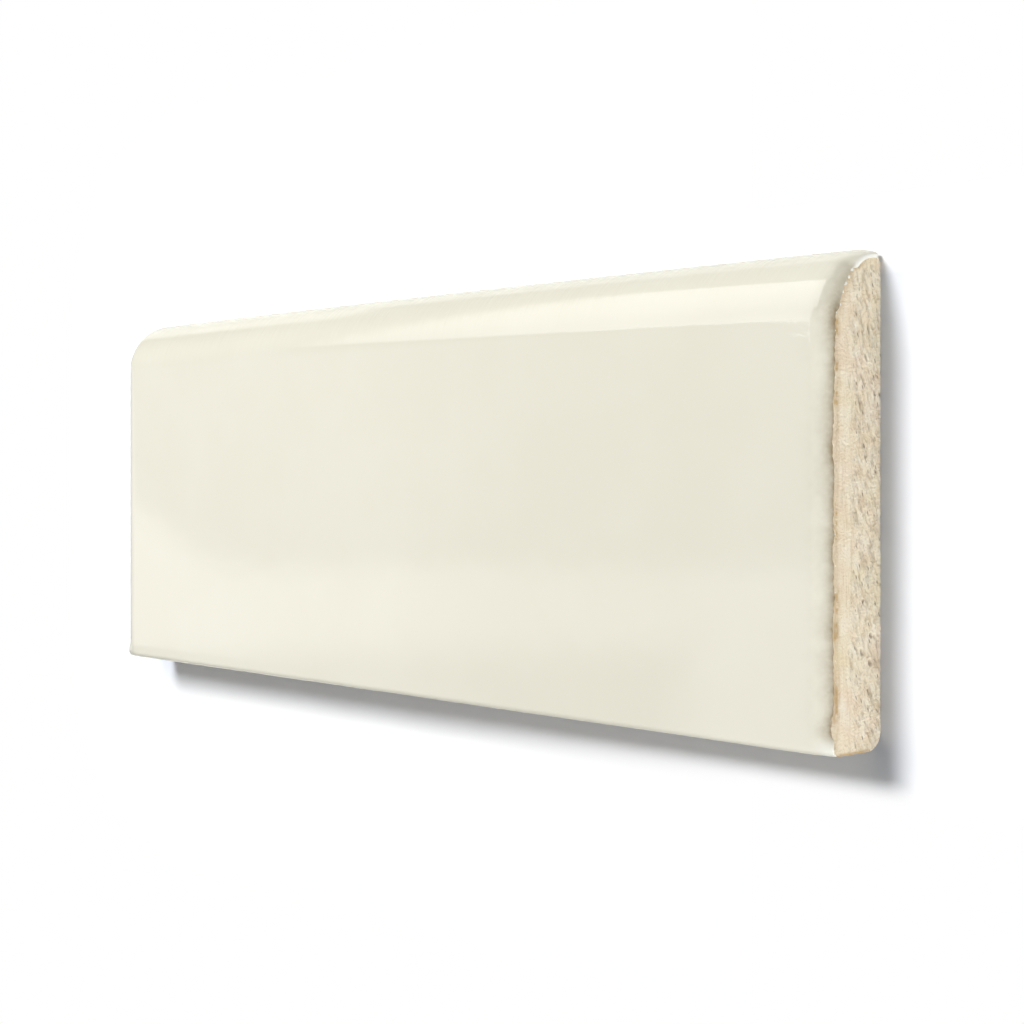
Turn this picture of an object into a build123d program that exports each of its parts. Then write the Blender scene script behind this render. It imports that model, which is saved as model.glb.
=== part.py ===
from build123d import *
import os

# Glazed ceramic bullnose tile, one fired piece, lying on its back.
# Origin: centre of the back. +X runs along the tile, +Y towards the bullnose, +Z out of the glazed face.
# All lengths are in millimetres, all angles in degrees.

# Overall size
tile_length = 200.0
tile_width = 75.0
tile_thickness = 12.0

# Rounded long edges
lower_arris_radius = 1.2  # glazed face into the plain long edge
heel_radius = 3.0  # plain long edge into the back
nose_foot_radius = 1.0  # foot of the bullnose into the back

# The glazed side rolls down to the two raw ends, more and more steeply
end_roll_length = 4.0  # how far before the end the roll starts
end_roll_drop = 0.9  # how far the face and bullnose have sunk at the end

# Keying grooves pressed into the back, which grip the adhesive
groove_width = 5.0
groove_depth = 0.6
groove_pitch = 10.0
groove_draft = 30.0  # lean of the groove's walls, so that the press tool lifts out
groove_side_rim = 9.0  # least plain rim along the two long edges
groove_end_rim = 12.0  # plain rim at each end, which keeps the ends whole

# The bullnose is a quarter round over the whole thickness, down to its rounded foot
bullnose_radius = tile_thickness - nose_foot_radius

# Places along and across the tile, from its middle
roll_start = tile_length / 2 - end_roll_length
nose_side = tile_width / 2
lower_side = -tile_width / 2


def tile_section(along, sunk=0.0):
    """The tile's outline square to its length, with its face and bullnose sunk by the given depth."""
    with BuildSketch(Plane.YZ.offset(along)) as section:
        with BuildLine():
            back = Line((lower_side + heel_radius, 0), (nose_side - sunk - nose_foot_radius, 0))
            foot = JernArc(back @ 1, back % 1, nose_foot_radius, 90)
            nose = JernArc(foot @ 1, foot % 1, bullnose_radius - sunk, 90)
            face = Line(nose @ 1, (lower_side + lower_arris_radius, tile_thickness - sunk))
            arris = JernArc(face @ 1, face % 1, lower_arris_radius, 90)
            plain_edge = Line(arris @ 1, (lower_side, heel_radius))
            JernArc(plain_edge @ 1, plain_edge % 1, heel_radius, 90)
        make_face()
    return section.sketch


def end_roll():
    """The last stretch of the right end, where the glazed side rolls down to the raw end face as a parabola."""
    sections = []
    for done in (0, 0.5, 1):
        sections.append(tile_section(roll_start + done * end_roll_length, sunk=done**2 * end_roll_drop))
    return loft(sections)


def key_grooves():
    """Parallel round-ended grooves along the back, as many as fit between the plain rims."""
    grooved_width = tile_width - 2 * groove_side_rim - groove_width
    groove_count = int(grooved_width / groove_pitch) + 1
    groove_length = tile_length - 2 * groove_end_rim
    with BuildPart() as grooves:
        with BuildSketch(Plane.XY):
            with GridLocations(0, groove_pitch, 1, groove_count):
                SlotOverall(groove_length, groove_width)
        extrude(amount=groove_depth, taper=groove_draft)
    return grooves.part


def bullnose_tile():
    """The whole fired tile, as one solid: a long even stretch between two rolled ends, grooved on its back."""
    stretch = extrude(tile_section(0), amount=roll_start, both=True)
    right_end = end_roll()
    left_end = mirror(right_end, about=Plane.YZ)
    return stretch + right_end + left_end - key_grooves()


os.makedirs("parts", exist_ok=True)
export_step(bullnose_tile(), "parts/bullnose_tile.step")
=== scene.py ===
import math

import bmesh
import bpy
import numpy as np
from bpy.props import FloatProperty, FloatVectorProperty, IntProperty, PointerProperty
from mathutils import Matrix, Vector


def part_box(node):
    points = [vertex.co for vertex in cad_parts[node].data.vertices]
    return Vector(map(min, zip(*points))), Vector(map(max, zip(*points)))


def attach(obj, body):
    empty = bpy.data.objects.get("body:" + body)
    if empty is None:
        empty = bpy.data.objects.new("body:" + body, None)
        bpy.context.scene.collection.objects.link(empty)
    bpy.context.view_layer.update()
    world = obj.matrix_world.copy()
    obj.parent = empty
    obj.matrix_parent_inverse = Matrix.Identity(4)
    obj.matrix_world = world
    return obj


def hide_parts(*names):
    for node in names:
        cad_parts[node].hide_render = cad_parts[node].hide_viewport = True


bl_info = {
    "name": "Bullnose Tile",
    "version": (1, 0, 0),
    "blender": (4, 5, 0),
    "location": "View3D > Sidebar > Tile",
    "description": "Dresses a glazed ceramic bullnose tile: clay body, glaze coat, beads and a plain studio",
    "category": "Object",
}

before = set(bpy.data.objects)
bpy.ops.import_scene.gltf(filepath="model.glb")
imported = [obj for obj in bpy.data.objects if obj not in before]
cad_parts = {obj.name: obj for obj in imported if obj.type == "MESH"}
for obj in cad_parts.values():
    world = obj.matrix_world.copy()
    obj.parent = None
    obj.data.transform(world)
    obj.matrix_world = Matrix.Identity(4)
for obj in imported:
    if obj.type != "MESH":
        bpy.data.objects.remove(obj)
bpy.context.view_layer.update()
tile_low, tile_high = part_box("bullnose_tile")


# Sizes and colours that a user would change

def metres(name, description, default):
    """A length in metres."""
    return FloatProperty(name=name, description=description, default=default, unit="LENGTH")


def tilt(name, description, degrees):
    """An angle, given in degrees."""
    return FloatProperty(name=name, description=description, default=math.radians(degrees), subtype="ANGLE")


def number_of(name, description, default):
    """How many there are of something."""
    return IntProperty(name=name, description=description, default=default, min=0)


def colour(name, description, default):
    """A colour."""
    return FloatVectorProperty(
        name=name, description=description, default=default, subtype="COLOR", min=0.0, max=1.0
    )


def watts(name, description, default):
    """The power of a lamp."""
    return FloatProperty(name=name, description=description, default=default, unit="POWER")


class TileSizes(bpy.types.PropertyGroup):
    """Sizes of the tile and of its glaze. All are in metres."""

    length: metres("Length", "Length of the tile, along X", tile_high.x - tile_low.x)
    width: metres("Width", "Width of the tile, from its plain edge to its bullnose", tile_high.y - tile_low.y)
    thickness: metres("Thickness", "Thickness of the tile, from back to face", tile_high.z - tile_low.z)
    arris_radius: metres("Arris radius", "Rounding between the glazed face and the plain long edge", 0.0012)
    heel_radius: metres("Heel radius", "Rounding between the plain long edge and the back", 0.003)
    foot_radius: metres("Foot radius", "Rounding between the bullnose and the back", 0.001)
    roll_length: metres("End roll length", "How far before each end the glazed side starts to roll", 0.004)
    roll_drop: metres("End roll drop", "How far the glazed face has sunk at the end", 0.0012)
    shoulder_drop: metres("Shoulder roll drop", "How far the bullnose's shoulder has sunk at the end", 0.0021)
    foot_drop: metres("Foot roll drop", "How far the bullnose has sunk at the end, near its foot", 0.0007)
    nose_bow: metres("Nose bow", "How far the bullnose bends back towards each end of the tile", 0.00032)
    groove_width: metres("Groove width", "Width of each keying groove in the back", 0.005)
    groove_depth: metres("Groove depth", "Depth of each keying groove in the back", 0.0006)
    groove_pitch: metres("Groove pitch", "Distance from one keying groove to the next", 0.01)
    groove_draft: tilt("Groove draft", "Lean of the groove's walls", 30)
    groove_count: number_of("Groove count", "Number of keying grooves side by side", 6)
    groove_end_rim: metres("Groove end rim", "Plain rim between the grooves and each end", 0.012)
    glaze_thickness: metres("Glaze thickness", "Thickness of the glaze on the face", 0.00045)
    lip_thickness: metres("Lip thickness", "Thickness of the glaze gathered on the bullnose's ends", 0.00057)
    glaze_wave: metres("Glaze wave", "Height of the slow waves that the glaze sets in", 0.00005)
    clay_roughness: metres("Clay roughness", "Depth of the torn clay on the raw ends", 0.00017)
    slit_count: number_of("Slits", "Number of small slits that the cutter dragged into each raw end", 300)
    slit_lean: tilt("Slit lean", "Lean of the slits away from the tile's long edges", 20)


class TileColours(bpy.types.PropertyGroup):
    """Colours of the glaze and the fired clay."""

    glaze: colour("Glaze", "Cream of the glaze on the face", (0.85, 0.826, 0.70))
    glaze_deep: colour("Glaze, deeper", "Slow cloudy patches in the glaze", (0.83, 0.795, 0.67))
    glaze_pooled: colour("Glaze, pooled", "White where the glaze gathers", (0.86, 0.86, 0.80))
    # Painted shade: this brown of thinning glaze is darker than the clay, and stands in for the shade on the
    # rolled ends and the lowest rim
    glaze_thin_and_shade: colour("Glaze, thin", "Where the glaze thins out over the clay", (0.29, 0.228, 0.138))
    clay_beige: colour("Clay, beige", "Main colour of the fired clay", (0.785, 0.685, 0.49))
    clay_cream: colour("Clay, cream", "Pale patches of the fired clay", (0.87, 0.82, 0.68))
    clay_pink: colour("Clay, pink", "Pinkish patches of the fired clay", (0.81, 0.66, 0.545))
    clay_drag: colour("Clay, drag marks", "Streaks that the cutter dragged", (0.60, 0.46, 0.28))
    # Painted shade: this brown darkens pits, slits, specks and hollows as the shade inside them
    clay_hollow_shade: colour("Clay, hollows", "Brown of the pits and slits", (0.25, 0.185, 0.13))
    clay_scorch: colour("Clay, scorch", "Ochre line along the edges of the clay", (0.45, 0.28, 0.10))


class StudioSettings(bpy.types.PropertyGroup):
    """Light levels of the plain studio."""

    key_watts: watts("Key lamp", "Power of the lamp above the bullnose side", 10.8)
    fill_watts: watts("Fill lamp", "Power of the low lamp that rakes across the raw end", 6.4)
    softbox_watts: watts("Softbox", "Power of the softbox that the glaze mirrors", 0.56)
    sky_level: FloatProperty(name="Sky level", description="Even light from all round", default=0.20)
    floor: colour("Floor", "Colour of the plain pale floor", (0.82, 0.82, 0.82))


# Noise and easing

def eased(value, start, end):
    """0 before start, 1 after end, and smooth between them."""
    share = np.clip((value - start) / (end - start), 0.0, 1.0)
    return share * share * (3.0 - 2.0 * share)


def patchy(across, along, seed):
    """Smooth random field from -1 to 1, with one patch to each unit of its two coordinates."""
    table = np.random.default_rng(seed).uniform(-1.0, 1.0, (256, 256))
    column = np.floor(across).astype(int)
    row = np.floor(along).astype(int)
    s = eased(across - column, 0.0, 1.0)
    t = eased(along - row, 0.0, 1.0)
    c0, c1 = column % 256, (column + 1) % 256
    r0, r1 = row % 256, (row + 1) % 256
    near = table[c0, r0] * (1 - s) + table[c1, r0] * s
    far = table[c0, r1] * (1 - s) + table[c1, r1] * s
    return near * (1 - t) + far * t


def layered(across, along, seed, layers=3):
    """Patchy field with finer and fainter layers added."""
    total = np.zeros(np.broadcast(across, along).shape)
    for layer in range(layers):
        total = total + patchy(across * 2**layer, along * 2**layer, seed + layer) / 2**layer
    return total / (2.0 - 0.5 ** (layers - 1))


# The tile's outline, square to its length

def sunk_at(sizes, along, nose_angle):
    """How far the glazed side has rolled down: most at the shoulder, and latest near the foot."""
    roll_start = sizes.length / 2 - sizes.roll_length
    done = np.clip((np.abs(along) - roll_start) / sizes.roll_length, 0.0, 1.0)
    shoulder = eased(nose_angle, 0.0, math.radians(13))
    foot = eased(nose_angle, math.radians(36), math.radians(78))
    drop = sizes.roll_drop + (sizes.shoulder_drop - sizes.roll_drop) * shoulder
    drop = drop + (sizes.foot_drop - sizes.shoulder_drop) * foot
    return drop * done ** (2.0 + 3.0 * shoulder - 2.2 * foot)


def bow_at(sizes, along, across):
    """How far the bullnose side bends back at this place."""
    share = (along / (sizes.length / 2)) ** 2
    return sizes.nose_bow * share * eased(across, 0.0, sizes.width / 2)


def nose_centre(sizes):
    """Centre of the bullnose's quarter round."""
    return sizes.width / 2 - (sizes.thickness - sizes.foot_radius), sizes.foot_radius


def arris_outline(sizes, angles, sunk):
    """Points and outward directions round the arris, from angle 0 at the face to the plain edge."""
    radius = sizes.arris_radius
    out_y, out_z = -np.sin(angles), np.cos(angles)
    y = -sizes.width / 2 + radius + radius * out_y
    z = sizes.thickness - radius + radius * out_z - sunk
    return y, z, out_y + 0 * z, out_z + 0 * z


def face_outline(sizes, across, sunk):
    """Points and outward directions over the flat face."""
    z = sizes.thickness - sunk + 0 * across
    return across + 0 * z, z, 0 * z, 1 + 0 * z


def nose_outline(sizes, angles, sunk):
    """Points and outward directions round the bullnose, from angle 0 at the face. The foot comes last."""
    centre_y, centre_z = nose_centre(sizes)
    radius = sizes.thickness - sizes.foot_radius - sunk
    turned = np.where(angles > math.pi / 2, sizes.foot_radius, radius)
    out_y, out_z = np.sin(angles), np.cos(angles)
    y = centre_y + radius - turned + turned * out_y
    return y, centre_z + turned * out_z, out_y + 0 * y, out_z + 0 * y


def glaze_depth(sizes, along, across, nose_angle):
    """Thickness of the glaze: even over the face, thin at the raw ends, and a lip round the bullnose."""
    to_end = sizes.length / 2 - np.abs(along)
    thinned = sizes.glaze_thickness * (0.15 + 0.85 * eased(to_end, 0.0, 0.003))
    lip = eased(nose_angle, math.radians(50), math.radians(62))
    lip_here = sizes.lip_thickness + (sizes.glaze_thickness - sizes.lip_thickness) * eased(to_end, 0.0, 0.004)
    return thinned + (lip_here - thinned) * lip + 0 * across


# Fired clay body

def groove_depth_at(sizes, along, across):
    """Depth of the keying grooves in the back: parallel slots with round ends and leaning walls."""
    half_slot = sizes.groove_width / 2
    straight = sizes.length / 2 - sizes.groove_end_rim - half_slot
    wall = sizes.groove_depth * math.tan(sizes.groove_draft)
    depth = np.zeros(np.broadcast(along, across).shape)
    for groove in range(sizes.groove_count):
        middle = (groove - (sizes.groove_count - 1) / 2) * sizes.groove_pitch
        past = np.maximum(np.abs(along) - straight, 0.0)
        reach = np.hypot(past, across - middle)
        depth = np.maximum(depth, sizes.groove_depth * np.clip((half_slot - reach) / wall, 0.0, 1.0))
    return depth


def body_columns(sizes):
    """Where the upright columns of the raw end's grid stand, from the plain edge to the bullnose."""
    plain_side = -sizes.width / 2
    centre_y, _ = nose_centre(sizes)
    arris = np.linspace(math.pi / 2, 0.0, 9)[:-1]
    face = np.linspace(plain_side + sizes.arris_radius, centre_y, 274)
    nose = np.radians(np.linspace(0.0, 88.0, 49)[1:])
    wall = sizes.groove_depth * math.tan(sizes.groove_draft)
    for groove in range(sizes.groove_count):
        middle = (groove - (sizes.groove_count - 1) / 2) * sizes.groove_pitch
        for side in (-1, 1):
            for edge in (sizes.groove_width / 2, sizes.groove_width / 2 - wall):
                place = middle + side * edge
                if place < centre_y:
                    face[np.argmin(np.abs(face - place))] = place
    return arris, face, nose


def body_outline(sizes, columns, along, inset):
    """Top and bottom of each column at one place along the tile, drawn in by the inset."""
    arris, face, nose = columns
    sunk = sunk_at(sizes, along, 0.0)
    nose_points = nose_outline(sizes, nose, sunk_at(sizes, along, nose))
    parts = (arris_outline(sizes, arris, sunk), face_outline(sizes, face, sunk), nose_points)
    y, z, out_y, out_z = (np.concatenate(values) for values in zip(*parts))
    nose_angle = np.concatenate((0 * arris, 0 * face, nose))
    depth = glaze_depth(sizes, along, y, nose_angle) + inset
    top_y = y - depth * out_y - bow_at(sizes, along, y)
    top_z = z - depth * out_z
    lowest, highest = top_y[0], top_y[-1]
    heel = sizes.heel_radius
    foot = sizes.foot_radius
    heel_reach = np.clip((lowest + heel - top_y) / heel, 0.0, 1.0)
    foot_reach = np.clip((top_y - (highest - foot * 0.993)) / foot, 0.0, 0.993)
    bottom_z = heel * (1 - np.sqrt(1 - heel_reach**2)) + foot * (1 - np.sqrt(1 - foot_reach**2))
    flat_back = 1 - np.maximum(heel_reach, foot_reach)
    bottom_z = bottom_z + groove_depth_at(sizes, along, top_y) + inset * flat_back
    return top_y, top_z, np.minimum(bottom_z, top_z - 0.0002)


def end_places(sizes):
    """Where the body's outlines stand along the tile, and how far each is drawn in to round the edge."""
    half = sizes.length / 2
    edge = ((0.00002, 0.00007), (0.00007, 0.00002), (0.00018, 0.0), (0.0005, 0.0))
    rounded = [(half - back, inset) for back, inset in edge]
    rolled = [(half - back, 0.0) for back in np.linspace(0.0009, sizes.roll_length + 0.0004, 7)]
    groove_end = half - sizes.groove_end_rim
    grooved = [(groove_end - back, 0.0) for back in np.linspace(-0.0002, sizes.groove_width / 2 + 0.0001, 8)]
    middle = [(place, 0.0) for place in (0.06, 0.02)]
    return [*rounded, *rolled, *grooved, *middle]


def dent(across, up, middle, half_long, half_wide, lean):
    """Share of a long leaning dent at each place: 1 in its middle, 0 outside it."""
    run = (across - middle[0]) * math.cos(lean) + (up - middle[1]) * math.sin(lean)
    side = (up - middle[1]) * math.cos(lean) - (across - middle[0]) * math.sin(lean)
    return 1 - eased(np.hypot(run / half_long, side / half_wide), 0.3, 1.2)


def drag_slits(sizes, across, up, seed):
    """Depth of the small slits that the cutter dragged into the clay. They lean alike, in clusters."""
    chance = np.random.default_rng(seed)
    depth = np.zeros(across.shape)
    for _ in range(sizes.slit_count):
        middle = (sizes.width * chance.uniform(-0.47, 0.47), sizes.thickness * chance.uniform(0.03, 0.72))
        crowded = 0.5 + 0.5 * patchy(middle[0] / 0.005, middle[1] / 0.003, seed + 1)
        half_long = chance.uniform(0.0002, 0.0006)
        half_wide = chance.uniform(0.0001, 0.00016)
        lean = sizes.slit_lean + math.radians(chance.normal(0.0, 10.0))
        deep = 0.0003 * crowded * chance.uniform(0.3, 1.0)
        depth = np.maximum(depth, deep * dent(across, up, middle, half_long, half_wide, lean))
    return depth


# Deeper holes of the raw end, in millimetres: distance from the plain edge, height above the back,
# length, width and depth
END_HOLES = (
    (62.4, 3.0, 2.2, 0.40, 0.40),
    (61.8, 4.4, 1.9, 0.34, 0.30),
    (58.4, 3.6, 1.3, 0.42, 0.35),
    (54.9, 4.3, 2.4, 0.38, 0.45),
    (54.4, 7.6, 2.4, 0.24, 0.35),
    (53.2, 1.5, 0.9, 0.50, 0.80),
    (51.2, 5.0, 2.4, 0.34, 0.40),
    (48.4, 3.1, 1.6, 0.30, 0.45),
    (43.7, 3.7, 0.6, 0.40, 0.70),
    (41.6, 1.3, 0.7, 0.45, 0.70),
    (38.6, 3.4, 0.6, 0.40, 0.35),
    (31.5, 2.6, 1.0, 0.40, 0.35),
    (25.8, 5.1, 1.2, 0.40, 0.35),
    (22.3, 4.3, 1.0, 0.50, 0.45),
    (17.3, 2.4, 0.9, 0.80, 0.45),
    (17.0, 1.5, 0.8, 0.60, 0.35),
    (14.9, 4.6, 1.3, 0.60, 0.60),
    (13.2, 2.6, 1.1, 0.90, 0.45),
    (9.2, 3.1, 0.5, 0.36, 0.60),
    (6.9, 3.1, 0.6, 0.36, 0.45),
    (3.2, 2.0, 0.7, 0.36, 0.45),
)


def deep_holes(sizes, across, up, mirrored):
    """Depth of the few holes that go deeper. The left end has the same holes turned about."""
    depth = np.zeros(across.shape)
    for from_edge, height, long, wide, deep in END_HOLES:
        middle = (from_edge / 1000 - sizes.width / 2, height / 1000)
        if mirrored:
            middle = (sizes.width * 0.45 - from_edge / 1000, 0.009 - height / 1000)
        lean = sizes.slit_lean * (0.6 + 0.8 * (from_edge % 1.0))
        hole = dent(across, up, middle, long / 2000, wide / 2000, lean)
        depth = np.maximum(depth, deep / 1000 * hole)
    return depth


def raw_end_relief(sizes, across, up, seed, mirrored):
    """How far the raw end lies back from its plane, the mask of its hollows for the painted shade in them,
    and where it is pressed smooth.
    """
    below_face = sizes.thickness - sizes.roll_drop - up
    wander = 0.0008 * layered(across / 0.008, 0 * up, seed + 1)
    torn = eased(below_face, 0.0028 + wander, 0.0046 + wander)
    dragged = across * math.cos(sizes.slit_lean) + up * math.sin(sizes.slit_lean)
    over = up * math.cos(sizes.slit_lean) - across * math.sin(sizes.slit_lean)
    coarse = 0.5 + 0.5 * layered(dragged / 0.0032, over / 0.0012, seed + 2)
    fine = 0.5 + 0.5 * layered(dragged / 0.0011, over / 0.00045, seed + 5, 2)
    lines = 0.5 + 0.5 * layered(across / 0.014, up / 0.0007, seed + 8, 2)
    slow = 0.5 + 0.5 * layered(across / 0.016, up / 0.006, seed + 11)
    rough = sizes.clay_roughness * (0.4 * coarse + 0.5 * fine + 0.35 * slow)
    pressed = sizes.clay_roughness * (0.4 * lines + 0.25 * slow)
    slits = drag_slits(sizes, across, up, seed + 14) * (0.15 + 0.85 * torn)
    holes = deep_holes(sizes, across, up, mirrored)
    scratch = 0.00012 * eased(lines, 0.68, 0.9) * (1 - torn)
    back = rough * torn + pressed * (1 - torn) + slits + holes + scratch
    crevices = torn * (0.3 * eased(fine, 0.5, 0.85) + 0.25 * eased(coarse, 0.55, 0.85))
    hollow_shade = np.clip(crevices + slits / 0.00035 + holes / 0.0006 + scratch / 0.0004, 0.0, 1.0)
    return back, hollow_shade, 1 - torn


def scorch_at(sizes, along, across, up, top, seed):
    """Where the kiln left ochre on the clay: on the plain edge, under the glaze's rim and at the foot."""
    near_end = eased(sizes.length / 2 - along, 0.0009, 0.0001)
    plain_side = -sizes.width / 2
    low_line = eased(across, plain_side + 0.0008, plain_side + 0.0001) * eased(up, 0.002, 0.004)
    in_places = patchy(across / 0.0028, 0 * across, seed)
    in_places = in_places + 0.6 * patchy(across / 0.0007, up / 0.0005, seed + 1)
    in_places = eased(in_places, 0.1, 0.9)
    rim_line = eased(top - up, 0.0013, 0.0003) * (0.2 + 0.35 * in_places)
    rim_line = rim_line + eased(top - up, 0.0006, 0.0002) * (0.1 + 0.3 * in_places)
    foot_corner = eased(across, -plain_side - 0.0028, -plain_side - 0.0008) * (0.25 + 0.2 * in_places)
    return near_end * np.maximum(low_line, np.maximum(rim_line, foot_corner))


def place_object(name, data):
    """A new object in the scene."""
    placed = bpy.data.objects.new(name, data)
    bpy.context.scene.collection.objects.link(placed)
    return placed


def mesh_piece(name, points, faces, on_map, measures, material):
    """A smooth shaded mesh object from arrays, with its flat map and the measures that its material reads."""
    mesh = bpy.data.meshes.new(name)
    mesh.from_pydata(points.tolist(), [], faces.tolist())
    flat_map = mesh.uv_layers.new(name="UVMap")
    flat_map.data.foreach_set("uv", on_map.astype(np.float32).ravel())
    for label, values in measures.items():
        layer = mesh.attributes.new(label, "FLOAT", "POINT")
        layer.data.foreach_set("value", values.astype(np.float32))
    mesh.materials.append(material)
    mesh.shade_smooth()
    mesh.update()
    return place_object(name, mesh)


def finished_mesh(name, work, material):
    """A mesh from a work mesh that is ready, with its material."""
    mesh = bpy.data.meshes.new(name)
    work.to_mesh(mesh)
    work.free()
    mesh.materials.append(material)
    return mesh


def body_grid(sizes, columns, along, inset, upright):
    """The upright grid of points at one place along the tile, and the height of its top."""
    across, top, bottom = body_outline(sizes, columns, along, inset)
    y = np.repeat(across[:, None], len(upright), axis=1)
    z = bottom[:, None] + (top - bottom)[:, None] * upright
    return y, z, top[:, None]


def outline_order(last, layers):
    """Number of each grid point along the grid's outline, counted once round, and -1 inside."""
    order = np.full((last + 1, layers + 1), -1)
    order[:, 0] = np.arange(last + 1)
    order[last, 1:layers] = last + 1 + np.arange(layers - 1)
    order[::-1, layers] = last + layers + np.arange(last + 1)
    order[0, layers - 1 : 0 : -1] = 2 * last + layers + 1 + np.arange(layers - 1)
    return order


def along_outline(values, order):
    """The values of a grid's outer points, in their order along the outline."""
    outer = order >= 0
    ordered = np.zeros((order.max() + 1, *values.shape[2:]))
    ordered[order[outer]] = values[outer]
    return ordered


def cell_corners(values):
    """The values at the four corners of each cell of a grid."""
    corners = np.stack((values[:-1, :-1], values[1:, :-1], values[1:, 1:], values[:-1, 1:]), axis=2)
    return corners.reshape(-1, 4, *values.shape[2:])


def sleeve(rings):
    """Faces that join a row of outlines into a sleeve, and their places on the flat map."""
    count, size = len(rings), len(rings[0])
    index = np.arange(count * size).reshape(count, size)
    faces = cell_corners(np.concatenate((index, index[:, :1]), axis=1))[:, [0, 3, 2, 1]]
    middle = rings[count // 2]
    steps = np.linalg.norm(np.roll(middle, -1, axis=0) - middle, axis=1)
    v = 0.6 * np.concatenate(((0.0,), np.cumsum(steps))) / steps.sum()
    along = np.array([ring[:, 0].mean() for ring in rings])
    u = (along - along[0]) / (along[-1] - along[0])
    on_map = cell_corners(np.stack(np.meshgrid(u, v, indexing="ij"), axis=-1))[:, [0, 3, 2, 1]]
    return faces, on_map


class TILE_OT_fired_body(bpy.types.Operator):
    """Builds the fired clay body, with its torn raw ends and grooved back"""

    bl_idname = "tile.fired_body"
    bl_label = "Fired body"

    def execute(self, context):
        sizes = context.scene.tile_sizes
        half = sizes.length / 2
        columns = body_columns(sizes)
        upright = np.linspace(0.0, 1.0, 91)
        edge_round = 0.00012
        relief_reach = 0.0012
        scorch_seed = 95
        cap = body_grid(sizes, columns, half, edge_round, upright)
        order = outline_order(len(cap[0]) - 1, len(upright) - 1)
        reliefs = {}
        for side, seed in ((-1, 40), (1, 70)):
            reliefs[side] = raw_end_relief(sizes, cap[0], cap[1], seed, side < 0)

        places = end_places(sizes)
        stations = [(-1, half, None), *((-1, *place) for place in places)]
        stations += [*((1, *place) for place in reversed(places)), (1, half, None)]
        rings, measured = [], []
        for side, place, inset in stations:
            back, hollow_shade, pressed = reliefs[side]
            y, z, top = cap if inset is None else body_grid(sizes, columns, place, inset, upright)
            near_end = 1 - np.clip((half - place) / relief_reach, 0.0, 1.0)
            scorch = scorch_at(sizes, place, y, z, top, scorch_seed)
            rings.append(along_outline(np.stack((side * (place - back * near_end), y, z), axis=-1), order))
            # The first measure is the mask for the painted shade in the raw end's hollows
            values = np.stack((hollow_shade * near_end, pressed * near_end, scorch), axis=-1)
            measured.append(along_outline(values, order))

        points, measures = np.concatenate(rings), np.concatenate(measured)
        side_faces, side_map = sleeve(rings)
        faces, maps = [side_faces], [side_map]
        inside = order < 0
        for side, first in ((-1, 0), (1, len(points) - order.max() - 1)):
            back, hollow_shade, pressed = reliefs[side]
            y, z, top = cap
            index = order + first
            index[inside] = len(points) + np.arange(inside.sum())
            points = np.concatenate((points, np.stack((side * (half - back), y, z), axis=-1)[inside]))
            values = np.stack((hollow_shade, pressed, scorch_at(sizes, half, y, z, top, scorch_seed)), axis=-1)
            measures = np.concatenate((measures, values[inside]))
            turn = [0, 1, 2, 3] if side > 0 else [3, 2, 1, 0]
            on_map = ((y + sizes.width / 2) / sizes.width, 0.73 + 0.09 * side + 0.16 * z / sizes.thickness)
            faces.append(cell_corners(index)[:, turn])
            maps.append(cell_corners(np.stack(on_map, axis=-1))[:, turn])

        named = dict(zip(("hollow_shade", "pressed", "scorch"), measures.T))
        clay = clay_material(context.scene.tile_colours)
        body = mesh_piece("fired_body", points, np.concatenate(faces), np.concatenate(maps), named, clay)
        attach(body, "root")
        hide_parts("bullnose_tile")
        return {"FINISHED"}


# Glaze coat

def coat_rows(sizes):
    """Distances from the glaze's rim to the middle of the tile: close together at the raw end."""
    close = np.array([0.0, 0.00008, 0.0002, 0.0004])
    rolled = np.arange(0.0006, sizes.roll_length + 0.0008, 0.00022)
    settling = np.arange(rolled[-1] + 0.0005, 0.012, 0.0006)
    easing = np.arange(settling[-1] + 0.001, 0.022, 0.0012)
    middle = np.linspace(easing[-1] + 0.002, sizes.length / 2, 38)
    return np.concatenate((close, rolled, settling, easing, middle))


def coat_columns(sizes):
    """Columns of the coat, in four stretches: plain edge, arris, face and bullnose."""
    centre_y, _ = nose_centre(sizes)
    down_edge = np.linspace(1.0, 0.0, 8)[:-1]
    arris = np.linspace(math.pi / 2, 0.0, 10)[:-1]
    face = np.linspace(-sizes.width / 2 + sizes.arris_radius, centre_y, 206)
    nose = np.radians(np.linspace(0.0, 108.0, 72)[1:])
    return down_edge, arris, face, nose


# Bays where the glaze stops further back from the raw end, in millimetres: place along the rim, length, depth
RIM_BAYS = (
    (3.3, 4.6, 0.34),
    (16.5, 3.0, 0.15),
    (28.5, 3.6, 0.16),
    (44.0, 6.0, 0.20),
)


def bay_depth(arc):
    """How deep the bays of the glaze's rim are at this place along it."""
    depth = 0 * arc
    for place, long, deep in RIM_BAYS:
        depth = depth + deep / 1000 * eased(np.abs(arc - place / 1000), 0.65 * long / 1000, 0.1 * long / 1000)
    return depth


def rim_recess(arc, lip, seed):
    """How far the glaze stops short of the raw end: ragged along the face, and hardly at all in the lip."""
    ragged = 0.00012 * layered(arc / 0.0024, 0 * arc, seed)
    ragged = ragged + 0.00008 * patchy(arc / 0.0005, 0 * arc, seed + 4)
    base = 0.0003 - 0.00018 * eased(arc, 0.05, 0.06)
    return np.clip(base + ragged + bay_depth(arc), 0.00008, 0.001) * (1 - lip) + 0.00002 * lip


def corner_lump(arc, to_end):
    """Where the glaze stands up in a lump, at the corner between the plain edge and the raw end."""
    return eased(arc, 0.0022, -0.0002) * eased(to_end, 0.0036, 0.0012)


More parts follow.
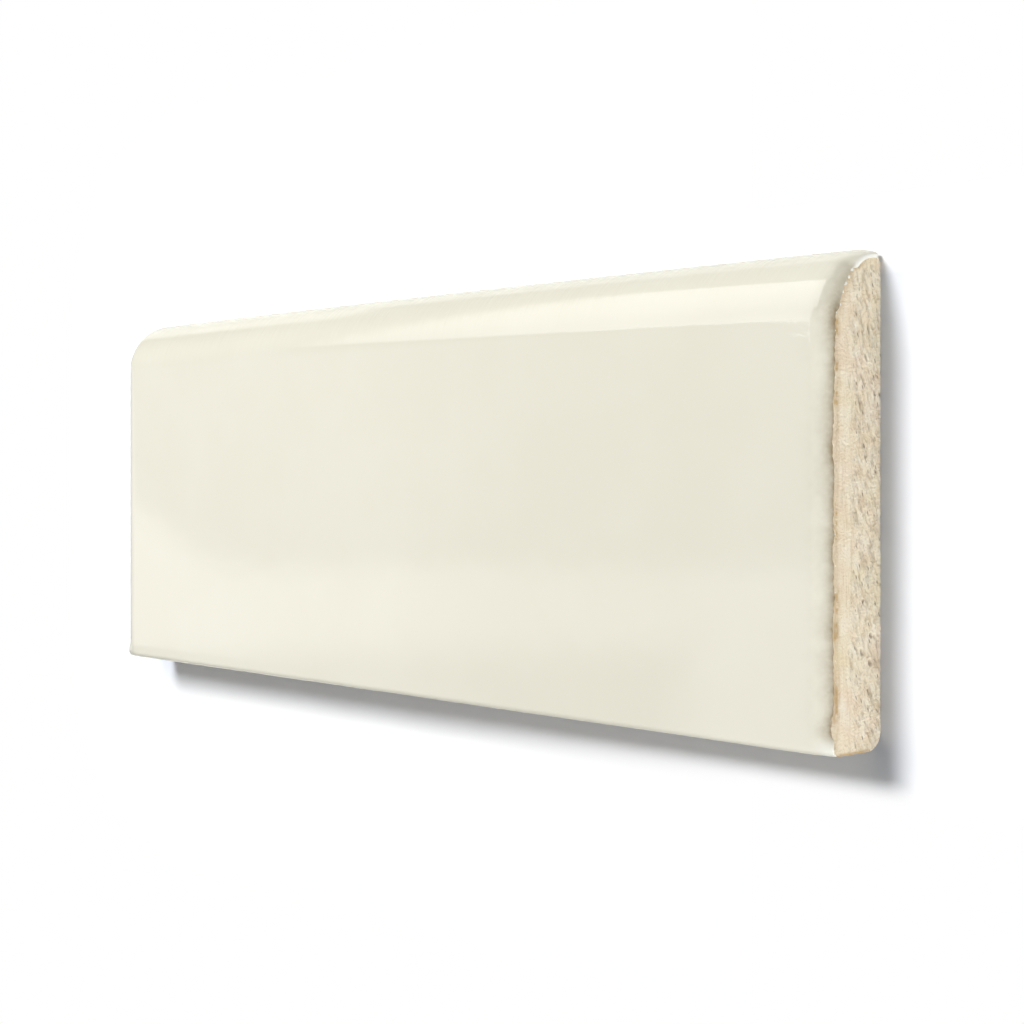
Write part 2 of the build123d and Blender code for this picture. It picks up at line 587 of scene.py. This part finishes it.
def coat_end(sizes, arc, lip, seed):
    """Rows of the coat from the middle to its right rim: how far along they lie, and how far drawn in."""
    half = sizes.length / 2
    rim_round = 0.00007 + 0.00025 * lip
    recess = rim_recess(arc, lip, seed) + rim_round
    from_rim = coat_rows(sizes)[::-1, None]
    x = half - from_rim - recess * eased(from_rim, 0.003, 0.0)
    turned = np.radians((22.5, 45.0, 67.5, 90.0))[:, None]
    deep = 0.00006 + (sizes.lip_thickness - 0.00012) * lip + 0.0004 * corner_lump(arc, 0 * arc)
    bumps = 0.00004 * np.abs(layered(arc / 0.0008, 0 * arc, seed + 9)) * lip
    rim_x = (
        half - recess + rim_round * np.sin(turned),
        np.repeat((half - recess + rim_round - bumps - 0.00001)[None], 3, axis=0),
        (half - recess - 0.00002 - 0.5 * rim_round)[None],
        (half - recess - 0.0005)[None],
    )
    rim_in = (
        rim_round * (1 - np.cos(turned)),
        rim_round + deep * np.array((0.3, 0.6, 0.85))[:, None],
        (rim_round + deep)[None],
        (1.6 * rim_round + deep + 0.00012)[None],
    )
    return np.concatenate((x, *rim_x)), np.concatenate((0 * x, *rim_in))


def coat_outline(sizes, columns, x, lump):
    """Points and outward directions over the whole coat: plain edge, arris, face and bullnose."""
    down_edge, arris, face, nose = columns
    ends = np.cumsum((len(down_edge), len(arris), len(face)))
    wander = math.radians(9.0) * layered(x[:, :1] / 0.005, 0 * x[:, :1] + 5, 250)
    angles = nose + wander * (nose / nose[-1]) ** 6
    nose_angle = np.concatenate((np.zeros((len(x), ends[-1])), angles), axis=1)
    sunk = sunk_at(sizes, x, nose_angle) * (1 - 0.4 * lump)
    edge_sunk, arris_sunk, face_sunk, nose_sunk = np.split(sunk, ends, axis=1)
    run_down = 0.0030 + 0.0006 * layered(x[:, :1] / 0.006, 0 * x[:, :1], 240)
    edge_z = sizes.thickness - sizes.arris_radius - edge_sunk - run_down * down_edge
    edge_y = 0 * edge_z - sizes.width / 2
    parts = (
        (edge_y, edge_z, 0 * edge_y - 1, 0 * edge_y),
        arris_outline(sizes, arris, arris_sunk),
        face_outline(sizes, face, face_sunk),
        nose_outline(sizes, angles, nose_sunk),
    )
    return (np.concatenate([values + np.zeros((len(x), values.shape[-1])) for values in kind], axis=1)
            for kind in zip(*parts))


class TILE_OT_glaze_coat(bpy.types.Operator):
    """Builds the glaze coat over the face, the bullnose and the top of the plain edge, with its rims"""

    bl_idname = "tile.glaze_coat"
    bl_label = "Glaze coat"

    def execute(self, context):
        sizes = context.scene.tile_sizes
        half = sizes.length / 2
        columns = coat_columns(sizes)
        down_edge, arris, face, nose = columns
        arc = np.concatenate((
            -sizes.arris_radius * math.pi / 2 - 0.0028 * down_edge,
            -sizes.arris_radius * arris,
            face - face[0],
            (face[-1] - face[0]) + (sizes.thickness - sizes.foot_radius) * nose,
        ))
        nose_angle = np.concatenate((0 * down_edge, 0 * arris, 0 * face, nose))
        lip = eased(nose_angle, math.radians(51), math.radians(62))
        left_x, left_inward = coat_end(sizes, arc, lip, 120)
        right_x, right_inward = coat_end(sizes, arc, lip, 150)
        x = np.concatenate((-left_x[::-1], right_x[1:]))
        inward = np.concatenate((left_inward[::-1], right_inward[1:]))
        to_end = half - np.abs(x)
        lump = corner_lump(arc, to_end)

        wave = sizes.glaze_wave * (0.5 + 0.5 * layered(x / 0.036, arc / 0.027 + 9, 210))
        ripple = 0.000008 * (0.5 + 0.5 * layered(x / 0.0075, arc / 0.0034 + 31, 220))
        wobble = 0.00011 * (0.5 + 0.5 * layered(x / 0.013, 0 * x + 3, 230)) * eased(arc, 0.0016, -0.0012)
        inward = inward + wave + ripple + wobble
        y, z, out_y, out_z = coat_outline(sizes, columns, x, lump)
        y = y - inward * out_y - bow_at(sizes, x, y)
        points = np.stack((x, y, z - inward * out_z), axis=-1)

        # The two long rims turn in to meet the clay
        edge_steps = ((0.0, 0.0007, -0.00006), (0.0, 0.0001, -0.00004), (0.0, 0.00004, -0.00002))
        nose_steps = ((0.0, -0.00003, -0.00003), (0.0, -0.00006, -0.00007), (0.0, -0.001, -0.0001))
        points = np.concatenate((points[:, :1] + edge_steps, points, points[:, -1:] + nose_steps), axis=1)

        # Where the glaze thins at the raw ends, most at the right one, and along its lowest rim on the plain
        # edge. Its brown is partly the clay showing through and partly painted shade of the rolled end and of
        # the rim
        fray = 1 + 0.35 * layered(x / 0.0025 + 7, arc / 0.0022, 260)
        from_rim = np.maximum(to_end - 1.6 * bay_depth(arc), 0.0)
        kept_thick = (1 - 0.45 * eased(nose_angle, 0.0, math.radians(30))) * (1 - lip) * (1 - lump)
        thin_reach = 0.00115
        thin_at_left = 0.25
        thin_and_shade = np.clip(1.25 * np.exp(-from_rim / (thin_reach * fray)), 0.0, 1.0) * kept_thick
        thin_and_shade = thin_and_shade * np.where(x > 0, 1.0, thin_at_left)
        low_rim_thin_and_shade = eased(z - z[:, :1], 0.0011, 0.0002) * (arc < 0)
        pooled = np.maximum(eased(to_end, 0.0002, 0.00004) * lip, 0.5 * lump)
        rim_columns = ((0, 0), (len(edge_steps), len(nose_steps)))
        measures = {
            "thin_and_shade": np.pad(np.maximum(thin_and_shade, low_rim_thin_and_shade), rim_columns, mode="edge").ravel(),
            "pooled": np.pad(pooled, rim_columns, mode="edge").ravel(),
        }

        rim_rows = 9
        u = 0.02 + 0.96 * (x.mean(axis=1) + half) / sizes.length
        u[:rim_rows] = np.linspace(0.0, u[rim_rows], rim_rows, endpoint=False)
        u[-rim_rows:] = np.linspace(1.0, u[-rim_rows - 1], rim_rows, endpoint=False)[::-1]
        rims = 0.0003 * np.arange(1, len(edge_steps) + 1)
        v = np.concatenate((arc[0] - rims[::-1], arc, arc[-1] + rims))
        v = (v - v[0]) / (v[-1] - v[0])
        index = np.arange(len(u) * len(v)).reshape(len(u), len(v))
        on_map = np.stack(np.meshgrid(u, v, indexing="ij"), axis=-1)
        glaze = glaze_material(context.scene.tile_colours)
        coat = mesh_piece(
            "glaze_coat", points.reshape(-1, 3), cell_corners(index), cell_corners(on_map), measures, glaze
        )
        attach(coat, "root")
        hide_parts("bullnose_tile")
        return {"FINISHED"}


# Glaze beads along the rims

# Beads on the bullnose's rim: degrees round the bullnose from the face, and radius in metres
NOSE_BEADS = ((3, 0.00017), (11.5, 0.0003), (25.5, 0.00037), (34, 0.0004), (42.8, 0.00036), (50.6, 0.00035))


class TILE_OT_glaze_beads(bpy.types.Operator):
    """Scatters the small beads and crumbs of glaze that froze along the rims at both ends"""

    bl_idname = "tile.glaze_beads"
    bl_label = "Glaze beads"

    def execute(self, context):
        sizes = context.scene.tile_sizes
        work = bmesh.new()
        for side, seed in ((-1, 310), (1, 330)):
            chance = np.random.default_rng(seed)
            for angle, radius in NOSE_BEADS:
                turn = math.radians(angle + chance.uniform(-0.6, 0.6))
                sunk = sunk_at(sizes, sizes.length / 2, turn)
                outline = nose_outline(sizes, turn, sunk + 0.0002)
                self.add_bead(work, sizes, side, [float(value) for value in outline], radius, 0.42, chance, 3)
            y = 0.0022 - sizes.width / 2
            while y < nose_centre(sizes)[0] - 0.0004:
                radius = chance.choice((0.00006, 0.00009, 0.00012), p=(0.5, 0.35, 0.15))
                outline = (y, sizes.thickness - sizes.roll_drop - 0.00008, 0.0, 1.0)
                self.add_bead(work, sizes, side, outline, radius, 1.0, chance, 2)
                y += chance.gamma(1.6, 0.0009)
        mesh = finished_mesh("glaze_beads", work, bead_material(context.scene.tile_colours))
        mesh.shade_smooth()
        beads = place_object("glaze_beads", mesh)
        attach(beads, "root")
        return {"FINISHED"}

    def add_bead(self, work, sizes, side, outline, radius, flat, chance, rounds):
        """Adds one squashed bead that sits half sunk on the rim."""
        y, z, out_y, out_z = outline
        back = flat * (1.15 * radius + chance.uniform(0.0, 0.00022))
        middle = Vector((side * (sizes.length / 2 - back), y, z))
        outward = Vector((0.0, out_y, out_z))
        along_rim = Vector((0.0, out_z, -out_y))
        squash = chance.uniform(0.6, 0.85)
        stretch = chance.uniform(0.9, 1.3)
        made = bmesh.ops.create_icosphere(work, subdivisions=rounds, radius=radius)
        for vertex in made["verts"]:
            x, s, n = vertex.co
            lump = 1.0 + 0.12 * math.sin(9000 * (s + x) + back * 90000)
            bulge = along_rim * (s * stretch * lump) + outward * (n * squash)
            vertex.co = middle + Vector((flat * x * lump, 0.0, 0.0)) + bulge


# Materials

def feed(tree, value, entry):
    """Gives an input its value: a number, a colour, or the output of another node."""
    if isinstance(value, bpy.types.NodeSocket):
        tree.links.new(value, entry)
    else:
        entry.default_value = value


def add_node(tree, kind, settings=None, inputs=None):
    """Adds a node to a tree, with its settings and what goes into its inputs."""
    node = tree.nodes.new(kind)
    for name, value in (settings or {}).items():
        setattr(node, name, value)
    for name, value in (inputs or {}).items():
        feed(tree, value, node.inputs[name])
    return node


def maths(tree, operation, *values):
    """One step of arithmetic on numbers."""
    node = add_node(tree, "ShaderNodeMath", {"operation": operation}, dict(enumerate(values)))
    return node.outputs["Value"]


def vector_maths(tree, operation, *values):
    """One step of arithmetic on places."""
    node = add_node(tree, "ShaderNodeVectorMath", {"operation": operation}, dict(enumerate(values)))
    return node.outputs["Value" if operation == "LENGTH" else "Vector"]


def spread(tree, value, start, end, low=0.0, high=1.0, curve="LINEAR"):
    """A value moved from one range to another, and kept inside it."""
    inputs = {"Value": value, "From Min": start, "From Max": end, "To Min": low, "To Max": high}
    return add_node(tree, "ShaderNodeMapRange", {"interpolation_type": curve}, inputs).outputs["Result"]


def smooth_step(tree, value, start, end, low=0.0, high=1.0):
    """A value moved from one range to another, with soft ends."""
    return spread(tree, value, start, end, low, high, "SMOOTHSTEP")


def split_axes(tree, place):
    """The X, Y and Z of a place or direction."""
    return add_node(tree, "ShaderNodeSeparateXYZ", inputs={0: place}).outputs


def tile_place(tree):
    """The place on the piece itself, in metres."""
    return add_node(tree, "ShaderNodeTexCoord").outputs["Object"]


def noise(tree, place, scale, detail, roughness=0.5):
    """Cloudy noise from 0 to 1."""
    inputs = {"Vector": place, "Scale": scale, "Detail": detail, "Roughness": roughness}
    return add_node(tree, "ShaderNodeTexNoise", inputs=inputs).outputs["Fac"]


def cells(tree, place, scale):
    """Distance to the nearest of many scattered points."""
    inputs = {"Vector": place, "Scale": scale, "Randomness": 1.0}
    return add_node(tree, "ShaderNodeTexVoronoi", inputs=inputs).outputs["Distance"]


def drawn_out(tree, place, lean, stretch):
    """Places turned by a lean and stretched, so that a pattern laid on them is drawn out into marks."""
    inputs = {"Vector": place, "Rotation": (lean, 0.0, 0.0), "Scale": stretch}
    return add_node(tree, "ShaderNodeMapping", {"vector_type": "TEXTURE"}, inputs).outputs["Vector"]


def measure(tree, name):
    """A measure that the mesh carries from point to point."""
    return add_node(tree, "ShaderNodeAttribute", {"attribute_name": name}).outputs["Fac"]


def bumped(tree, height, distance, normal=None, strength=1.0, invert=False):
    """A fine relief laid over the surface, or over another relief."""
    inputs = {"Strength": strength, "Distance": distance, "Height": height}
    if normal is not None:
        inputs["Normal"] = normal
    return add_node(tree, "ShaderNodeBump", {"invert": invert}, inputs).outputs["Normal"]


def mix_colours(tree, mask, first, second, strength=1.0):
    """Mixes two colours by a mask. Each colour is a value or the output of a node."""
    share = maths(tree, "MULTIPLY", mask, strength)
    mixed = add_node(tree, "ShaderNodeMix", {"data_type": "RGBA"}, {0: share})
    for entry, tone in ((6, first), (7, second)):
        linked = isinstance(tone, bpy.types.NodeSocket)
        feed(tree, tone if linked else (*tone, 1.0), mixed.inputs[entry])
    return mixed.outputs[2]


def fired_mottle():
    """Node group shared by the glaze and the clay: slow cloudy patches, fine grain and scattered specks."""
    found = bpy.data.node_groups.get("Fired Mottle")
    if found:
        return found
    group = bpy.data.node_groups.new("Fired Mottle", "ShaderNodeTree")
    for name, default in (("Patch Size", 0.02), ("Grain Size", 0.001), ("Speck Spacing", 0.004)):
        socket = group.interface.new_socket(name=name, in_out="INPUT", socket_type="NodeSocketFloat")
        socket.default_value = default
        socket.min_value = 0.0001
    for name in ("Patches", "Grain", "Specks"):
        group.interface.new_socket(name=name, in_out="OUTPUT", socket_type="NodeSocketFloat")
    entry = add_node(group, "NodeGroupInput").outputs
    leave = add_node(group, "NodeGroupOutput").inputs
    place = tile_place(group)
    for name, detail, output in (("Patch Size", 3.0, "Patches"), ("Grain Size", 4.0, "Grain")):
        clouds = noise(group, place, maths(group, "DIVIDE", 1.0, entry[name]), detail, 0.55)
        feed(group, smooth_step(group, clouds, 0.32, 0.68), leave[output])
    dots = cells(group, place, maths(group, "DIVIDE", 1.0, entry["Speck Spacing"]))
    feed(group, smooth_step(group, dots, 0.11, 0.05), leave["Specks"])
    return group


def mottle_of(tree, patch, grain, speck):
    """The shared mottle, placed with its own sizes."""
    sizes = {"Patch Size": patch, "Grain Size": grain, "Speck Spacing": speck}
    return add_node(tree, "ShaderNodeGroup", {"node_tree": fired_mottle()}, sizes).outputs


def bare_material(name):
    """A new material with its node tree and its Principled BSDF."""
    material = bpy.data.materials.new(name)
    material.use_nodes = True
    return material, material.node_tree, material.node_tree.nodes["Principled BSDF"]


def finish_surface(tree, shader, base, roughness, normal):
    """Leads the colour, the roughness and the relief into the material's shader."""
    for name, value in (("Base Color", base), ("Roughness", roughness), ("Normal", normal)):
        feed(tree, value, shader.inputs[name])


def glaze_material(colours):
    """Cream gloss glaze: faint cloudy patches, white where it pools, and brownish where it thins, darkened
    further as painted shade on the rolled raw ends and along its lowest rim.
    """
    material, tree, shader = bare_material("cream_glaze")
    mottle = mottle_of(tree, 0.022, 0.0034, 0.006)
    place = tile_place(tree)
    cloudy = mix_colours(tree, mottle["Patches"], colours.glaze, colours.glaze_deep, 0.5)
    specked = mix_colours(tree, mottle["Specks"], cloudy, colours.glaze_pooled, 0.12)
    fretted = spread(tree, noise(tree, place, 1300.0, 3.0), 0.3, 0.6, 0.8, 1.0)
    # The brown of thinning glaze is partly clay showing through and partly painted shade
    thin_and_shade = maths(tree, "MULTIPLY", measure(tree, "thin_and_shade"), fretted)
    thinned = mix_colours(tree, thin_and_shade, specked, colours.glaze_thin_and_shade)
    base = mix_colours(tree, measure(tree, "pooled"), thinned, colours.glaze_pooled)
    even = spread(tree, mottle["Patches"], 0.0, 1.0, 0.028, 0.045)
    roughness = maths(tree, "MULTIPLY_ADD", thin_and_shade, 0.22, even)

    # Fine comb marks run over the bullnose only
    combs = noise(tree, drawn_out(tree, place, 0.0, (1.0, 8.0, 8.0)), 1200.0, 1.0)
    near_nose = spread(tree, split_axes(tree, place)["Y"], 0.0245, 0.032)
    combs_here = maths(tree, "MULTIPLY", near_nose, combs)
    rippled = bumped(tree, mottle["Grain"], 0.000005)
    finish_surface(tree, shader, base, roughness, bumped(tree, combs_here, 0.00005, rippled))
    return material


def bead_material(colours):
    """White pooled glaze of the beads, with cream creeping in."""
    material, tree, shader = bare_material("pooled_glaze")
    mottle = mottle_of(tree, 0.0012, 0.0003, 0.002)
    base = mix_colours(tree, mottle["Patches"], colours.glaze_pooled, colours.glaze_deep, 0.35)
    roughness = spread(tree, mottle["Grain"], 0.0, 1.0, 0.08, 0.2)
    finish_surface(tree, shader, base, roughness, bumped(tree, mottle["Grain"], 0.000008))
    return material


def streaks(tree, place, lean, stretch, scale, start, end):
    """Mask of long streaks in the raw end, which lean away from the tile's long edges."""
    clouds = noise(tree, drawn_out(tree, place, math.radians(lean), (1.0, stretch, 1.0)), scale, 4.0, 0.65)
    return smooth_step(tree, clouds, start, end)


def slit_shade_marks(tree, place, lean, scale, size):
    """Mask of small slits that are only painted, dark as the shade inside them, scattered over the raw end
    and leaning alike.
    """
    dots = cells(tree, drawn_out(tree, place, math.radians(lean), (1.0, 3.2, 1.0)), scale)
    return smooth_step(tree, dots, size, 0.6 * size)


def clay_material(colours):
    """Fired clay: beige with cream and pink patches, streaked by the cutter, with painted brown shade in its
    hollows, slits and specks.
    """
    material, tree, shader = bare_material("fired_clay")
    place = tile_place(tree)
    mottle = mottle_of(tree, 0.0032, 0.0004, 0.0016)
    pink_area = mottle_of(tree, 0.009, 0.0009, 0.004)
    pressed = measure(tree, "pressed")
    torn = maths(tree, "SUBTRACT", 1.0, pressed)
    pale_marks = maths(tree, "MULTIPLY", streaks(tree, place, 24, 2.6, 1000.0, 0.52, 0.64), torn)
    dark_marks = maths(tree, "MULTIPLY", streaks(tree, place, 18, 3.2, 1500.0, 0.5, 0.66), torn)
    smooth_lines = maths(tree, "MULTIPLY", streaks(tree, place, 3, 9.0, 1700.0, 0.48, 0.66), pressed)
    # The slits are only painted: dark marks that stand in for the shade inside small slits
    slits = maths(tree, "MULTIPLY", slit_shade_marks(tree, place, 22, 1150.0, 0.17), torn)
    fine_slit_shade = maths(tree, "MULTIPLY", slit_shade_marks(tree, place, 14, 2300.0, 0.2), torn)

    # Each finish lies over the ones before it: its mask, its colour and how strongly it covers them
    base = colours.clay_beige
    for mask, tone, strength in (
        (pink_area["Patches"], colours.clay_pink, 0.6),
        (mottle["Patches"], colours.clay_cream, 0.6),
        (pale_marks, colours.clay_cream, 0.75),
        (dark_marks, colours.clay_drag, 0.42),
        # Painted shade: the slits, specks and hollows are darkened brown as the shade inside them
        (fine_slit_shade, colours.clay_hollow_shade, 0.38),
        (slits, colours.clay_hollow_shade, 0.75),
        (smooth_lines, colours.clay_drag, 0.36),
        (mottle["Specks"], colours.clay_hollow_shade, 0.3),
        (measure(tree, "hollow_shade"), colours.clay_hollow_shade, 0.88),
        (measure(tree, "scorch"), colours.clay_scorch, 0.8),
    ):
        base = mix_colours(tree, mask, base, tone, strength)
    grainy = bumped(tree, mottle["Grain"], 0.00008)
    furrowed = bumped(tree, dark_marks, 0.00008, grainy, invert=True)
    normal = bumped(tree, smooth_lines, 0.00003, furrowed, 0.8)
    finish_surface(tree, shader, base, spread(tree, mottle["Grain"], 0.0, 1.0, 0.72, 0.95), normal)
    shader.inputs["Specular IOR Level"].default_value = 0.3
    return material


# Studio

def floor_material(studio, sizes):
    """Plain pale floor. The camera sees its light and shadow near the tile, with a painted darker, bluer
    shadow close to it, and plain white further out.
    """
    material, tree, shader = bare_material("studio_floor")
    tree.nodes.remove(shader)
    place = tile_place(tree)
    side = split_axes(tree, place)
    folded = vector_maths(tree, "ABSOLUTE", place)
    past = vector_maths(tree, "SUBTRACT", folded, (sizes.length / 2, sizes.width / 2, 0.0))
    outside = vector_maths(tree, "MAXIMUM", past, (0.0, 0.0, 0.0))
    away = vector_maths(tree, "LENGTH", outside)

    # The shadow is painted darker and bluer close to the tile, except on the bullnose side
    painted_contact_shadow = maths(tree, "MULTIPLY", spread(tree, away, 0.009, 0.0), spread(tree, side["Y"], 0.0362, 0.0332))
    floor_with_painted_shadow = mix_colours(tree, painted_contact_shadow, (1.11, 1.125, 1.15), (0.75, 0.803, 0.905))
    seen = add_node(tree, "ShaderNodeBsdfDiffuse", inputs={"Color": floor_with_painted_shadow})

    # Towards the right the shadow below the tile is painted over with white sooner
    sooner = smooth_step(tree, split_axes(tree, outside)["Y"], 0.0038, 0.0081)
    sooner_here = maths(tree, "MULTIPLY", sooner, spread(tree, side["X"], 0.0, 0.075))
    faded = maths(tree, "MAXIMUM", smooth_step(tree, away, 0.012, 0.05), sooner_here)
    white = add_node(tree, "ShaderNodeEmission", inputs={"Color": (1.0, 1.0, 1.0, 1.0), "Strength": 1.0})
    shaders = {0: faded, 1: seen.outputs["BSDF"], 2: white.outputs["Emission"]}
    background = add_node(tree, "ShaderNodeMixShader", inputs=shaders)

    # For glossy rays only, the floor is painted as a pale strip that widens to the left, with ever darker
    # floor beyond it: a painted reflection in the glaze
    widened = maths(tree, "MULTIPLY_ADD", side["X"], 0.63, 0.022)
    reach = maths(tree, "ADD", away, maths(tree, "MINIMUM", widened, 0.0))
    dark = mix_colours(tree, spread(tree, reach, 0.0155, 0.045), (0.28, 0.28, 0.28), (0.1, 0.1, 0.1))
    mirrored = mix_colours(tree, smooth_step(tree, reach, 0.0095, 0.0155), (0.86, 0.87, 0.83), dark)
    # Glossy rays see this painted reflection, other rays the floor's own colour
    path = add_node(tree, "ShaderNodeLightPath").outputs
    shade = mix_colours(tree, path["Is Glossy Ray"], studio.floor, mirrored)
    lit = add_node(tree, "ShaderNodeBsdfDiffuse", inputs={"Color": shade})
    shaders = {0: path["Is Camera Ray"], 1: lit.outputs["BSDF"], 2: background.outputs["Shader"]}
    chosen = add_node(tree, "ShaderNodeMixShader", inputs=shaders)
    feed(tree, chosen.outputs["Shader"], tree.nodes["Material Output"].inputs["Surface"])
    return material


def add_lamp(name, place, facing, power, shape, size, size_y=None):
    """Adds an area lamp at a place, turned to face one way. The camera doesn't see it."""
    lamp = bpy.data.lights.new(name, "AREA")
    lamp.energy = power
    lamp.shape = shape
    lamp.size = size
    if size_y:
        lamp.size_y = size_y
    holder = place_object(name, lamp)
    holder.location = place
    holder.rotation_euler = facing.to_euler()
    holder.visible_camera = False
    return holder


def looking(place, aim):
    """The turn that makes a lamp at one place face another."""
    return (Vector(aim) - Vector(place)).to_track_quat("-Z", "Y")


def fade_softbox(lamp):
    """Makes the softbox brightest at its right side, and weaker towards its left."""
    lamp.use_nodes = True
    tree = lamp.node_tree
    across = split_axes(tree, add_node(tree, "ShaderNodeNewGeometry").outputs["Parametric"])["X"]
    feed(tree, spread(tree, across, 0.33, 0.9, 1.3, 0.74), tree.nodes["Emission"].inputs["Strength"])


def set_sky(scene, level):
    """White to the camera, an even level for soft light, and brighter and darker sides for reflections."""
    world = bpy.data.worlds.new("studio_sky")
    world.use_nodes = True
    scene.world = world
    tree = world.node_tree
    path = add_node(tree, "ShaderNodeLightPath").outputs
    toward = split_axes(tree, add_node(tree, "ShaderNodeTexCoord").outputs["Generated"])
    far_side = smooth_step(tree, toward["X"], -0.735, -0.795, 0.7, 1.08)
    horizon = smooth_step(tree, toward["Z"], 0.05, 0.6, 0.1, 1.0)
    nose_side = smooth_step(tree, toward["Y"], 0.05, 0.35, 1.0, 0.15)
    past_end = smooth_step(tree, toward["X"], -0.79, -0.84, 0.0, 0.8)
    brighter = maths(tree, "MAXIMUM", nose_side, past_end)
    overall = maths(tree, "MULTIPLY", far_side, maths(tree, "MULTIPLY", horizon, brighter))

    # A pale panel low on the plain edge's side, with its far corner turned up
    clamped = {"operation": "MULTIPLY_ADD", "use_clamp": True}
    corner = add_node(tree, "ShaderNodeMath", clamped, {0: toward["X"], 1: -1.3, 2: -1.092}).outputs["Value"]
    panel = smooth_step(tree, maths(tree, "SUBTRACT", toward["Y"], corner), -0.043, -0.06, 0.0, 0.9)
    beyond = smooth_step(tree, toward["Y"], -0.085, -0.11, 1.0, 0.0)
    near = smooth_step(tree, toward["X"], -0.69, -0.66)
    lit = maths(tree, "MULTIPLY_ADD", panel, maths(tree, "MAXIMUM", beyond, near), overall)

    background = tree.nodes["Background"].inputs
    background["Color"].default_value = (1.0, 1.0, 1.0, 1.0)
    brightness = level
    for ray, other in (("Is Glossy Ray", lit), ("Is Camera Ray", 1.0)):
        inputs = {0: path[ray], 2: brightness, 3: other}
        brightness = add_node(tree, "ShaderNodeMix", {"data_type": "FLOAT"}, inputs).outputs[0]
    feed(tree, brightness, background["Strength"])


def set_camera(scene):
    """Sets the camera at the photograph's angle, rolled so that the raw end stands upright in the picture."""
    lens = bpy.data.cameras.new("camera")
    lens.sensor_width = 36.0
    lens.lens = 64.6
    lens.shift_y = -0.0391
    lens.clip_start = 0.01
    camera = place_object("camera", lens)
    dip = math.radians(41.737)
    right = Vector((math.sin(dip), 0.0, -math.cos(dip)))
    up = Vector((0.0, 1.0, 0.0))
    behind = Vector((math.cos(dip), 0.0, math.sin(dip)))
    camera.rotation_euler = Matrix((right, up, behind)).transposed().to_euler()
    camera.location = (0.26738, 0.00396, 0.22296)
    scene.camera = camera


class TILE_OT_studio(bpy.types.Operator):
    """Sets up the pale floor, the lamps, the sky and the camera at the photograph's angle"""

    bl_idname = "tile.studio"
    bl_label = "Studio"

    def execute(self, context):
        scene = context.scene
        studio = scene.tile_studio

        work = bmesh.new()
        bmesh.ops.create_circle(work, cap_ends=True, segments=96, radius=3.0)
        pale = floor_material(studio, scene.tile_sizes)
        floor = place_object("studio_floor", finished_mesh("studio_floor", work, pale))
        floor.location.z = -0.00002

        key_place, fill_place = (-0.222, 0.548, 0.927), (0.78, -0.585, 0.08)
        key_facing, fill_facing = looking(key_place, (0, 0, 0)), looking(fill_place, (0.1, 0, 0.005))
        key = add_lamp("key_lamp", key_place, key_facing, studio.key_watts, "DISK", 0.46)
        key.visible_glossy = False
        fill = add_lamp("fill_lamp", fill_place, fill_facing, studio.fill_watts, "DISK", 0.14)
        fill.visible_glossy = False

        # The softbox stands where the glaze of the bullnose mirrors it as one long band
        facing = Vector((0.12, 0.663, 0.739)).normalized()
        to_left = Vector((-0.897, 0.392, -0.206)).normalized()
        turned = Matrix((to_left, facing.cross(to_left), facing)).transposed().to_quaternion()
        stand = (-0.2036, 0.2040, 0.1886)
        softbox = add_lamp("softbox", stand, turned, studio.softbox_watts, "RECTANGLE", 0.315, 0.309)
        softbox.visible_diffuse = False
        fade_softbox(softbox.data)

        set_sky(scene, studio.sky_level)
        set_camera(scene)
        scene.view_settings.view_transform = "Standard"
        return {"FINISHED"}


# Sidebar and registration

OPERATORS = (TILE_OT_fired_body, TILE_OT_glaze_coat, TILE_OT_glaze_beads, TILE_OT_studio)
GROUPS = {"tile_sizes": TileSizes, "tile_colours": TileColours, "tile_studio": StudioSettings}


class VIEW3D_PT_bullnose_tile(bpy.types.Panel):
    """Lists the tile's sizes, colours and the steps that build it"""

    bl_label = "Bullnose Tile"
    bl_space_type = "VIEW_3D"
    bl_region_type = "UI"
    bl_category = "Tile"

    def draw(self, context):
        for name, group in GROUPS.items():
            box = self.layout.box()
            for setting in group.__annotations__:
                box.prop(getattr(context.scene, name), setting)
        for operator in OPERATORS:
            self.layout.operator(operator.bl_idname)


def register():
    for group in GROUPS.values():
        bpy.utils.register_class(group)
    for operator in OPERATORS:
        bpy.utils.register_class(operator)
    bpy.utils.register_class(VIEW3D_PT_bullnose_tile)
    for name, group in GROUPS.items():
        setattr(bpy.types.Scene, name, PointerProperty(type=group))


def unregister():
    for name in GROUPS:
        delattr(bpy.types.Scene, name)
    bpy.utils.unregister_class(VIEW3D_PT_bullnose_tile)
    for operator in reversed(OPERATORS):
        bpy.utils.unregister_class(operator)
    for group in reversed(list(GROUPS.values())):
        bpy.utils.unregister_class(group)


def main():
    """Builds the pieces and the studio."""
    register()
    bpy.ops.tile.fired_body()
    bpy.ops.tile.glaze_coat()
    bpy.ops.tile.glaze_beads()
    bpy.ops.tile.studio()


if __name__ == "__main__":
    main()
